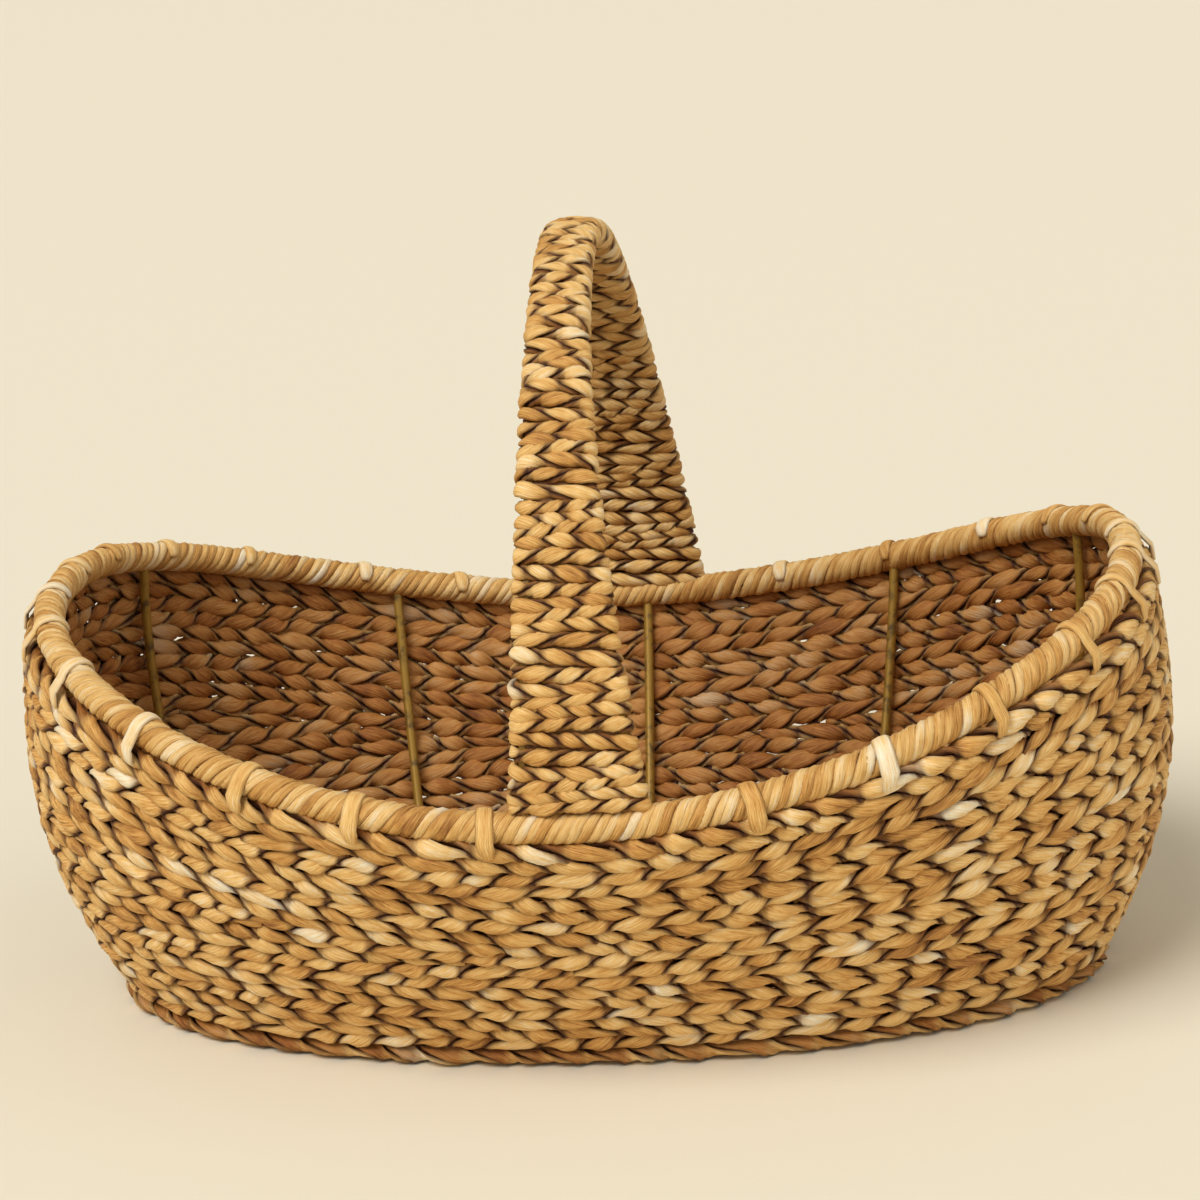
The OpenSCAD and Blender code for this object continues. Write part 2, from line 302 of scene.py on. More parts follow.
@dataclass
class Bundle:
    """Many strands as one mesh. No operator turns a section along its path, so its rings are laid here."""

    name: str
    slot: Slot
    sides: int = 8
    # Painted shade on the sides and the back of each strand's section.
    edge_shade_level: float = 0.30
    edge_shade_fall: float = 0.75
    strands: list[Strand] = field(default_factory=list)

    def mesh(self) -> bpy.types.Mesh:
        """Returns the mesh of all strands, with a UV map along them, their tone and their painted shade."""
        turn = np.arange(self.sides) * TURN / self.sides
        # Painted shade, darkest on the back of each section.
        edge_shade = np.clip(self.edge_shade_level - self.edge_shade_fall * np.sin(turn), 0, 1)
        points, faces, places = [], [], []
        values: dict[str, list[Array]] = {"tone": [], "deep": [], "inner": []}
        start = 0
        for strand in self.strands:
            count = len(strand.centre)
            points.append(strand.rings(turn))
            quads, corners = strand.faces(self.sides, start)
            faces += quads
            places.append(corners)
            inner = np.zeros(count) if strand.inner is None else strand.inner
            values["tone"].append(np.repeat(strand.tone, self.sides))
            values["deep"].append(np.clip(strand.deep[:, None] + edge_shade[None], 0, 1).ravel())
            values["inner"].append(np.repeat(inner, self.sides))
            start += count * self.sides
        mesh = bpy.data.meshes.new(self.name)
        mesh.from_pydata(np.concatenate(points).tolist(), [], faces)
        uv_map = mesh.uv_layers.new(name=UV_NAME)
        uv_map.data.foreach_set("uv", np.concatenate(places).astype(np.float32).ravel())
        for label, parts in values.items():
            attribute = mesh.attributes.new(label, "FLOAT", "POINT")
            attribute.data.foreach_set("value", np.concatenate(parts).astype(np.float32))
        mesh.shade_smooth()
        return mesh

    def build(self, material: bpy.types.Material, *nodes: str) -> None:
        """Makes the piece, dresses it and reports it.

        Args:
            material: The finish of the strands.
            nodes: The CAD nodes that the piece stands for.
        """
        mesh = self.mesh()
        self.face_outwards(mesh)
        piece = bpy.data.objects.new(self.name, mesh)
        bpy.context.scene.collection.objects.link(piece)
        mesh.materials.append(material)
        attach(piece, "root")
        if nodes:
            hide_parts(*nodes)
        LOG.info("%s: %d strands, %d faces", self.name, len(self.strands), len(mesh.polygons))

    @staticmethod
    def face_outwards(mesh: bpy.types.Mesh) -> None:
        """Turns the faces of every strand outwards."""
        work = bmesh.new()
        work.from_mesh(mesh)
        bmesh.ops.recalc_face_normals(work, faces=work.faces)
        work.to_mesh(mesh)
        work.free()


class Socket:
    """An output of a shader tree, with the maths operators that the finishes use."""

    def __init__(self, tree: bpy.types.NodeTree, link: bpy.types.NodeSocket) -> None:
        """Keeps the tree and its output."""
        self.tree, self.link = tree, link

    def math(self, operation: str, other: "Socket | float", swap: bool = False) -> "Socket":
        """Adds a Math node on this output and another value.

        Args:
            operation: The node's operation.
            other: The other value.
            swap: Whether the other value comes first.

        Returns:
            The node's output.
        """
        node = self.tree.nodes.new("ShaderNodeMath")
        node.operation = operation
        for place, value in zip((1, 0) if swap else (0, 1), (self, other)):
            if isinstance(value, Socket):
                self.tree.links.new(value.link, node.inputs[place])
            else:
                node.inputs[place].default_value = value
        return Socket(self.tree, node.outputs[0])

    def __add__(self, other: "Socket | float") -> "Socket":
        """Adds."""
        return self.math("ADD", other)

    def __mul__(self, other: "Socket | float") -> "Socket":
        """Multiplies."""
        return self.math("MULTIPLY", other)

    def __rsub__(self, other: float) -> "Socket":
        """Subtracts from a number."""
        return self.math("SUBTRACT", other, swap=True)

    def __pow__(self, other: float) -> "Socket":
        """Raises to a power."""
        return self.math("POWER", other)

    __radd__, __rmul__ = __add__, __mul__


class Finish:
    """A material whose nodes are added one by one."""

    def __init__(self, name: str) -> None:
        """Starts a plain material."""
        self.material = bpy.data.materials.new(name)
        self.material.use_nodes = True
        self.tree = self.material.node_tree
        self.shader = self.tree.nodes["Principled BSDF"]

    def node(self, kind: str, settings: dict[str, object], **inputs: object) -> bpy.types.Node:
        """Adds a node.

        Args:
            kind: The node's type, without its ShaderNode prefix.
            settings: Its properties, or the stops of a ramp under "stops".
            inputs: Values or outputs for its sockets: Fac for the socket Fac, _0 for the first one.

        Returns:
            The node.
        """
        node = self.tree.nodes.new("ShaderNode" + kind)
        for key, value in settings.items():
            if key == "stops":
                self.set_stops(node.color_ramp, value)
            else:
                setattr(node, key, value)
        for key, value in inputs.items():
            self.feed(node.inputs[int(key[1:]) if key.startswith("_") else key], value)
        return node

    @staticmethod
    def set_stops(ramp: bpy.types.ColorRamp, stops: tuple[tuple[float, Triple], ...]) -> None:
        """Gives a ramp its stops.

        Args:
            ramp: A new ramp, which has two stops.
            stops: The place and the colour of each stop, at least two.
        """
        for k, (place, colour) in enumerate(stops):
            stop = ramp.elements[k] if k < 2 else ramp.elements.new(place)
            stop.position, stop.color = place, (*colour, 1)

    def feed(self, socket: bpy.types.NodeSocket, value: object) -> None:
        """Links an output to a socket, or sets the socket's value.

        Args:
            socket: The input.
            value: An output, or a plain value.
        """
        if isinstance(value, Socket):
            self.tree.links.new(value.link, socket)
        else:
            socket.default_value = value

    def surface(self, **inputs: object) -> None:
        """Feeds sockets of the main shader, named with underscores for spaces."""
        for key, value in inputs.items():
            self.feed(self.shader.inputs[key.replace("_", " ")], value)

    def out(self, node: bpy.types.Node, index: int = 0) -> Socket:
        """Returns one output of a node."""
        return Socket(self.tree, node.outputs[index])

    def attribute(self, name: str) -> Socket:
        """Returns the value of an attribute of the piece."""
        return self.out(self.node("Attribute", {"attribute_name": name}), 2)

    def object_place(self) -> Socket:
        """Returns the Object coordinates."""
        return self.out(self.node("TexCoord", {}), 3)

    def noise(self, place: Socket, scale: float, detail: float, roughness: float) -> Socket:
        """Adds a noise.

        Args:
            place: Its coordinates.
            scale: Its scale.
            detail: Its detail.
            roughness: Its roughness.

        Returns:
            The noise, from 0 to 1.
        """
        node = self.node("TexNoise", {}, Vector=place, Scale=scale, Detail=detail, Roughness=roughness)
        return self.out(node)

    def tint(self, colour: Socket, share: Socket, tint: Triple) -> Socket:
        """Multiplies a colour by a tint.

        Args:
            colour: The colour.
            share: How much of the tint is used.
            tint: The tint.

        Returns:
            The tinted colour.
        """
        settings = {"data_type": "RGBA", "blend_type": "MULTIPLY"}
        return self.out(self.node("Mix", settings, _0=share, _6=colour, _7=(*tint, 1)), 2)


@dataclass(frozen=True)
class Seagrass:
    """Dry twisted seagrass: streaked golden fibres, pale flecks, and painted shade in the creases and on
    the side that faces into the weave.
    """

    name: str
    brightness: float = 0.0
    dark: Triple = (0.22, 0.070, 0.012)
    body: Triple = (0.62, 0.305, 0.070)
    light: Triple = (0.86, 0.55, 0.195)
    pale: Triple = (0.95, 0.85, 0.64)
    ramp_places: tuple[float, float, float, float] = (0.12, 0.38, 0.62, 0.95)
    # Colour and power of the painted shade in the creases.
    crease_shade: Triple = (0.085, 0.026, 0.010)
    crease_shade_power: float = 1.3
    # Tint of the painted shade on the side that faces into the weave.
    inside_shade: Triple = (0.60, 0.44, 0.32)
    fibre_grain: Triple = (55.0, 7.0, 1.0)
    hair_grain: Triple = (110.0, 34.0, 1.0)
    patch_scale: float = 38.0
    fibre_detail: float = 5.0
    fibre_rough: float = 0.62
    hair_detail: float = 3.0
    hair_rough: float = 0.6
    tone_share: float = 0.36
    fibre_share: float = 0.60
    hair_share: float = 0.85
    patch_share: float = 0.50
    level: float = -0.665
    dull: float = 0.72
    gloss: float = 0.25
    specular: float = 0.35
    bump: float = 0.7
    bump_depth: float = 1.4 * MM
    fibre_height: float = 0.5
    hair_height: float = 0.8

    def build(self) -> bpy.types.Material:
        """Returns the material."""
        f = Finish(self.name)
        uv = f.out(f.node("UVMap", {"uv_map": UV_NAME}))
        along = f.out(f.node("Mapping", {}, Vector=uv, Scale=self.fibre_grain))
        fibre = f.noise(along, 1.0, self.fibre_detail, self.fibre_rough)
        fine = f.out(f.node("Mapping", {}, Vector=uv, Scale=self.hair_grain))
        hair = f.noise(fine, 1.0, self.hair_detail, self.hair_rough)
        patch = f.noise(f.object_place(), self.patch_scale, self.hair_detail, self.hair_rough)
        streaks = fibre * self.fibre_share + hair * self.hair_share + patch * self.patch_share
        tone = f.attribute("tone") * self.tone_share + streaks + (self.brightness + self.level)
        colours = (self.dark, self.body, self.light, self.pale)
        ramp = f.out(f.node("ValToRGB", {"stops": tuple(zip(self.ramp_places, colours))}, Fac=tone))
        # Painted shade: one tint darkens the parts that face into the weave, another darkens the creases.
        shaded = f.tint(ramp, f.attribute("inner"), self.inside_shade)
        crease_shaded = f.tint(shaded, f.attribute("deep") ** self.crease_shade_power, self.crease_shade)
        relief = fibre * self.fibre_height + hair * self.hair_height
        bump = f.node("Bump", {}, Strength=self.bump, Distance=self.bump_depth, Height=relief)
        f.surface(Base_Color=crease_shaded, Roughness=self.dull - fibre * self.gloss,
                  Specular_IOR_Level=self.specular, Normal=f.out(bump))
        return f.material


@dataclass(frozen=True)
class GoldPaint:
    """Gold paint on a thin rod, a little worn and dusty."""

    name: str = "gold_paint"
    colour: Triple = (0.34, 0.19, 0.025)
    worn: Triple = (0.12, 0.07, 0.02)
    worn_place: float = 0.34
    whole_place: float = 0.5
    spot_scale: float = 140.0
    spot_detail: float = 4.0
    spot_rough: float = 0.65
    metallic: float = 0.35
    polish: float = 0.25
    dust: float = 0.35
    bump: float = 0.25
    bump_depth: float = 0.4 * MM

    def build(self) -> bpy.types.Material:
        """Returns the material."""
        f = Finish(self.name)
        spots = f.noise(f.object_place(), self.spot_scale, self.spot_detail, self.spot_rough)
        stops = ((self.worn_place, self.worn), (self.whole_place, self.colour))
        ramp = f.node("ValToRGB", {"stops": stops}, Fac=spots)
        bump = f.node("Bump", {}, Strength=self.bump, Distance=self.bump_depth, Height=spots)
        f.surface(Base_Color=f.out(ramp), Metallic=self.metallic,
                  Roughness=self.polish + spots * self.dust, Normal=f.out(bump))
        return f.material


@dataclass
class Twine:
    """How two strands turn round each other along a course, and how unevenly they do it.

    A strand swings in and out of the woven surface and rises and falls along it, once a turn. It is
    widest on the two faces, is pinched where the strands cross, and lies flatter the smaller lie is.
    """

    turn: float = 42 * MM
    swing: float = 2.7 * MM
    rise: float = 1.7 * MM
    half_w: float = 5.0 * MM
    pinch: float = 4.2 * MM
    half_t: float = 2.15 * MM
    lie: float = 0.55
    flatness: float = 1.3
    drift: float = 0.8
    drift_wave: float = 67 * MM
    swing_wave: float = 31 * MM
    swell_wave: float = 23 * MM
    swing_noise: float = 0.12
    rise_noise: float = 0.15
    width_noise: float = 0.13
    thick_noise: float = 0.10
    bump: float = 0.25 * MM
    tones_per_turn: float = 1.5
    pale_share: float = 0.07
    pale_lift: float = 0.8
    seam: float = 50 * MM
    # Amount and fall of the painted shade where the strands cross, and how sharply the painted shade on the
    # inner side sets in.
    crease_shade: float = 0.7
    crease_shade_power: float = 4
    inner_edge: float = 3

    def pair(self, rng: np.random.Generator, middle: Array, out: Array, up: Array, twist: Twist,
             phase: float, size: Array | None = None, closed: bool = False) -> list[Strand]:
        """Returns the two strands of a course.

        Args:
            rng: The seeded generator.
            middle: Points along the middle of the course.
            out: Directions away from the woven surface.
            up: Directions across the course, along the surface.
            twist: Which way the strands turn.
            phase: Where in its turn the course starts.
            size: Share of the full thickness at each point.
            closed: Whether the course closes on itself.

        Returns:
            Two strands.
        """
        step = np.linalg.norm(np.diff(middle, axis=0, append=middle[:1]), axis=1)
        run = np.concatenate([[0], np.cumsum(step)])[:-1]
        length = run[-1] + (step[-1] if closed else 0)
        size = np.ones(len(run)) if size is None else size
        turns = max(1, round(length / self.turn)) if closed else length / self.turn
        fade = end_fade(run, length, self.turn)
        drift = smooth_noise(rng, run, self.drift_wave) * self.drift * fade
        start = twist.value * TURN * turns * run / length + phase + drift
        knots = np.arange(0, length + self.turn, self.turn / self.tones_per_turn)
        strands = []
        for angle in (start, start + math.pi):
            c, s = np.cos(angle), np.sin(angle)
            noise = smooth_noise(rng, run, self.swing_wave) * fade
            swell = smooth_noise(rng, run, self.swell_wave) * fade
            depth = self.swing * size * (1 + self.swing_noise * noise) * c + self.bump * swell
            across = self.rise * size * (1 + self.rise_noise * swell) * s
            centre = middle + out * depth[:, None] + up * across[:, None]
            face = unit(out * c[:, None] + up * s[:, None] * self.lie)
            side = unit(-out * s[:, None] * self.lie + up * c[:, None])
            width = self.pinch + (self.half_w - self.pinch) * np.abs(c) ** self.flatness
            half_w = width * size * (1 + self.width_noise * noise)
            half_t = self.half_t * size * (1 + self.thick_noise * swell)
            tone = tones_along(rng, run, knots, self.pale_share, self.pale_lift)
            if closed:
                seam = 1 - end_fade(run, length, self.seam)
                tone = tone + (rng.uniform(0, 1) - tone) * seam
                tone[0] = tone[-1]
            # Painted shade, strongest where the two strands cross.
            deep = self.crease_shade * (1 - np.abs(c)) ** self.crease_shade_power
            # Painted shade on the stretches that lie on the inner side of the woven surface.
            inner = np.clip(0.5 - self.inner_edge * c, 0, 1)
            strands.append(Strand(centre, side, face, half_w, half_t, tone, deep, closed, inner))
        return strands


@dataclass
class WovenWall:
    """The wall: full courses along the base and along the rim, with short ones between them at the ends."""

    shape: Shape
    pitch: float = 8.1 * MM
    rim_courses: int = 10
    step: float = 2.7 * MM
    wander: float = 0.55 * MM
    wander_wave: float = 29 * MM
    end_run: float = 30 * MM
    slope_step: float = 0.02
    least_share: float = 0.22
    least_points: int = 12
    thinnest: float = 0.25
    twist_step: int = 5
    twist_cycle: int = 7
    twist_right: int = 3
    stake_gap: float = 21 * MM
    stake_r: float = 1.9 * MM
    stake_top: float = 0.93
    stake_points: int = 14
    stake_sides: int = 6
    stake_tone: float = 0.4
    # Painted shade all along each stake.
    stake_deep: float = 0.75
    twine: Twine = field(default_factory=Twine)

    def course(self, rng: np.random.Generator, t: Array, climb: Array, number: int,
               size: Array | None = None) -> list[Strand]:
        """Returns the strands of one course.

        Args:
            rng: The seeded generator.
            t: Angles along the course.
            climb: Distance up the slope at each angle.
            number: The course's number, which sets its twist.
            size: Share of the full thickness at each angle, for a course that stops short.

        Returns:
            Two strands.
        """
        shape = self.shape
        place = t * (shape.rim_a + shape.rim_b) / 2
        fade = end_fade(place - place[0], place[-1] - place[0], self.end_run)
        wave = self.wander * smooth_noise(rng, place, self.wander_wave) * fade
        s = (climb + wave) / shape.height(t)
        middle = shape.surface(t, s, shape.wall_mid)
        above = shape.surface(t, s + self.slope_step, shape.wall_mid)
        below = shape.surface(t, s - self.slope_step, shape.wall_mid)
        up = unit(above - below)
        out = unit(np.cross(unit(np.gradient(middle, axis=0)), up))
        right = number * self.twist_step % self.twist_cycle < self.twist_right
        twist = Twist.RIGHT if right else Twist.LEFT
        return self.twine.pair(rng, middle, out, up, twist, rng.uniform(0, TURN), size, size is None)

    def room(self, t: Array) -> Array:
        """Returns how many courses fit under the rim's own ones at the angles t."""
        return (self.shape.height(t) - self.shape.roll_r - self.rim_courses * self.pitch) / self.pitch

    def short_courses(self, rng: np.random.Generator, number: int) -> list[Strand]:
        """Returns the strands of one short course at each end of the basket.

        Args:
            rng: The seeded generator.
            number: The course's number, counted from the base.

        Returns:
            Two strands for each end where the course is long enough.
        """
        strands = []
        for middle in (0.0, math.pi):
            t = self.shape.even_angles(middle - math.pi / 2, middle + math.pi / 2, self.step)
            share = np.clip(self.room(t) - number, 0, 1)
            keep = share > self.least_share
            if keep.sum() < self.least_points:
                continue
            t, share = t[keep], share[keep]
            size = self.thinnest + (1 - self.thinnest) * share
            strands += self.course(rng, t, (number + share / 2) * self.pitch, number, size)
        return strands

    def build(self, rng: np.random.Generator, finish: bpy.types.Material) -> None:
        """Builds the courses and the stakes.

        Args:
            rng: The seeded generator.
            finish: The material of the wall.
        """
        around = self.shape.even_angles(0, TURN, self.step)[:-1]
        room = self.room(around)
        full = int(np.floor(room.min()))
        low = Bundle("wall_low_courses", Slot.WALL)
        for number in range(full):
            climb = np.full_like(around, (number + 0.5) * self.pitch)
            low.strands += self.course(rng, around, climb, number)
        low.build(finish, "wall_weave")
        short = Bundle("wall_short_courses", Slot.WALL)
        for number in range(full, int(np.ceil(room.max()))):
            short.strands += self.short_courses(rng, number)
        short.build(finish)
        high = Bundle("wall_rim_courses", Slot.WALL)
        for number in range(self.rim_courses):
            high.strands += self.course(rng, around, (room + number + 0.5) * self.pitch, number + full)
        high.build(finish)
        self.stakes(rng, finish)

    def stakes(self, rng: np.random.Generator, finish: bpy.types.Material) -> None:
        """Builds the upright stakes that the courses turn round.

        Args:
            rng: The seeded generator.
            finish: The material of the wall.
        """
        bundle = Bundle("wall_stakes", Slot.WALL, self.stake_sides)
        s = np.linspace(0, self.stake_top, self.stake_points)
        size = np.full_like(s, self.stake_r)
        for t in self.shape.even_angles(0, TURN, self.stake_gap)[:-1]:
            angle = np.full_like(s, t)
            centre = self.shape.surface(angle, s, self.shape.wall_mid)
            out = self.shape.out(angle)
            side = unit(np.cross(out, unit(np.gradient(centre, axis=0))))
            tone = np.full_like(s, rng.uniform(0, self.stake_tone))
            # Painted shade darkens every stake all along.
            deep = np.full_like(s, self.stake_deep)
            bundle.strands.append(Strand(centre, side, out, size, size, tone, deep))
        bundle.build(finish)


@dataclass
class WovenBase:
    """The base: oval courses from the foot of the wall inwards."""

    shape: Shape
    pitch: float = 8.4 * MM
    step: float = 3.6 * MM
    inset: float = 5.2 * MM
    raised: float = 1.0 * MM
    least_half: float = 0.4
    least_points: int = 12
    phase_step: float = 1.7
    twine: Twine = field(default_factory=lambda: Twine(swing=1.6 * MM, rise=1.7 * MM, half_t=1.7 * MM))

    def build(self, rng: np.random.Generator, finish: bpy.types.Material) -> None:
        """Builds the courses of the base.

        Args:
            rng: The seeded generator.
            finish: The material of the base.
        """
        low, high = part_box("base_weave")
        a, b = high.x - self.inset, high.y - self.inset
        middle_z = (low.z + high.z) / 2 + self.raised
        bundle = Bundle("base_courses", Slot.BASE)
        number = 0
        while b > self.pitch * self.least_half:
            length = TURN * math.sqrt((a * a + b * b) / 2)
            t = np.linspace(0, TURN, max(self.least_points, round(length / self.step)), endpoint=False)
            x, y = oval(t, self.shape.base_square)
            middle = np.stack([a * x, b * y, 0 * x + middle_z], -1)
            along = unit(np.roll(middle, -1, 0) - np.roll(middle, 1, 0))
            down = np.tile([0.0, 0.0, -1.0], (len(t), 1))
            across = unit(np.cross(down, along))
            twist = Twist.RIGHT if number % 2 else Twist.LEFT
            phase = number * self.phase_step
            bundle.strands += self.twine.pair(rng, middle, down, across, twist, phase, closed=True)
            a, b, number = a - self.pitch, b - self.pitch, number + 1
        bundle.build(finish, "base_weave")


@dataclass
class BoundRim:
    """The rim: strips wound side by side round the rim, and the ties that hold it to the wall."""

    shape: Shape
    strip_w: float = 5.0 * MM
    strips: int = 5
    overlap: float = 0.56
    centre_r: float = 5.9 * MM
    core_r: float = 6.2 * MM
    half_t: float = 2.1 * MM
    rings_per_turn: int = 16
    wander: float = 0.16
    wander_wave: float = 19 * MM
    end_run: float = 30 * MM
    lift: float = 0.25 * MM
    lift_wave: float = 9 * MM
    width_noise: float = 0.14
    width_wave: float = 13 * MM
    tone_gap: float = 20 * MM
    tone_spare: float = 100 * MM
    pale_share: float = 0.1
    pale_lift: float = 0.7
    # A little painted shade on every strip.
    strip_deep: float = 0.10
    ties: int = 28
    tie_shift: float = 0.08
    tie_half: float = 4.3 * MM
    tie_half_t: float = 1.3 * MM
    tie_start: float = 175
    tie_stop: float = 12
    tie_points: int = 14
    tie_lift: float = 0.2 * MM
    tail_lift: float = 0.6 * MM
    tail_start: float = 5 * MM
    tail_stop: float = 15 * MM
    tail_points: int = 5
    tail_tuck: float = 3 * MM
    tie_lean: float = 2.5 * MM
    tie_narrow: float = 0.75
    tie_wide: float = 1.1
    tie_dull: float = 0.2
    tie_pale: float = 1.3
    tie_end: float = 0.15
    tie_least: float = 0.45
    foot_clear: float = 40 * MM
    handle_x: float = 12 * MM

    def build(self, rng: np.random.Generator, finish: bpy.types.Material, pale: bpy.types.Material) -> None:
        """Builds the wound strips and the ties.

        Args:
            rng: The seeded generator.
            finish: The material of the strips.
            pale: The material of the ties.
        """
        self.wind(rng, finish)
        self.tie(rng, pale)

    def wind(self, rng: np.random.Generator, finish: bpy.types.Material) -> None:
        """Builds the wound strips, and the core under them.

        Args:
            rng: The seeded generator.
            finish: The material of the strips.
        """
        shape = self.shape
        turn_run = self.strip_w * self.strips
        fine = shape.even_angles(0, TURN, turn_run / self.rings_per_turn)[:-1]
        core, way, out = shape.rim(fine), shape.way(fine), shape.out(fine)
        up = unit(np.cross(out, way))
        run = path_run(core)
        turns = round(run[-1] / turn_run)
        knots = np.arange(0, run[-1] + self.tone_spare, self.tone_gap)
        half_t, deep = np.full_like(run, self.half_t), np.full_like(run, self.strip_deep)
        bundle = Bundle("rim_strips", Slot.BINDING)
        for k in range(self.strips):
            wander = smooth_noise(rng, run, self.wander_wave) * self.wander
            wander *= end_fade(run, run[-1], self.end_run)
            angle = TURN * (turns * run / run[-1] + k / self.strips) + wander
            face = unit(out * np.cos(angle)[:, None] + up * np.sin(angle)[:, None])
            lift = self.centre_r + self.lift * smooth_noise(rng, run, self.lift_wave)
            centre = core + face * lift[:, None]
            side = unit(np.cross(unit(np.gradient(centre, axis=0)), face))
            swell = 1 + self.width_noise * smooth_noise(rng, run, self.width_wave)
            tone = tones_along(rng, run, knots, self.pale_share, self.pale_lift)
            half_w = self.strip_w * self.overlap * swell
            bundle.strands.append(Strand(centre, side, face, half_w, half_t, tone, deep))
        # The core under the strips is a dark sheet of full painted shade.
        size = np.full_like(run, self.core_r)
        bundle.strands.append(Strand(core, out, up, size, size, 0 * run, np.ones_like(run), True))
        bundle.build(finish, "rim_binding")

    def tie(self, rng: np.random.Generator, finish: bpy.types.Material) -> None:
        """Builds the ties: over the roll from its inner side and down the first courses of the wall.

        Args:
            rng: The seeded generator.
            finish: The material of the ties.
        """
        shape = self.shape
        turn = np.radians(np.linspace(self.tie_start, self.tie_stop, self.tie_points))
        drops = np.linspace(self.tail_start, self.tail_stop, self.tail_points)
        count = self.tie_points + self.tail_points
        spread = np.sin(np.linspace(self.tie_end, math.pi - self.tie_end, count))
        taper = np.clip(self.tie_least + spread, 0, 1)
        bundle = Bundle("rim_ties", Slot.STITCH)
        for i in range(self.ties):
            t = TURN * (i + 0.5 + rng.uniform(-self.tie_shift, self.tie_shift)) / self.ties
            rim, way, out = (line(np.array([t]))[0] for line in (shape.rim, shape.way, shape.out))
            if abs(rim[0] - self.handle_x) < self.foot_clear:
                continue
            up = unit(np.cross(out, way))
            ray = np.cos(turn)[:, None] * out + np.sin(turn)[:, None] * up
            arc = rim + (shape.roll_r + self.tie_lift) * ray
            s = 1 - drops / shape.height(np.array([t]))[0]
            tail = shape.surface(np.full_like(s, t), s, shape.wall_mid + shape.wall_t / 2 + self.tail_lift)
            tail[-1] -= out * self.tail_tuck
            lean = np.linspace(-1, 1, count) * rng.uniform(-self.tie_lean, self.tie_lean)
            path = np.concatenate([arc, tail]) + way * lean[:, None]
            side = np.tile(way, (count, 1))
            face = unit(np.cross(unit(np.gradient(path, axis=0)), side))
            width = self.tie_half * rng.uniform(self.tie_narrow, self.tie_wide) * taper
            tone = np.full(count, rng.uniform(self.tie_dull, self.tie_pale))
            thick = np.full(count, self.tie_half_t)
            bundle.strands.append(Strand(path, side, face, width, thick, tone, np.zeros(count)))
        bundle.build(finish, "rim_stitches")


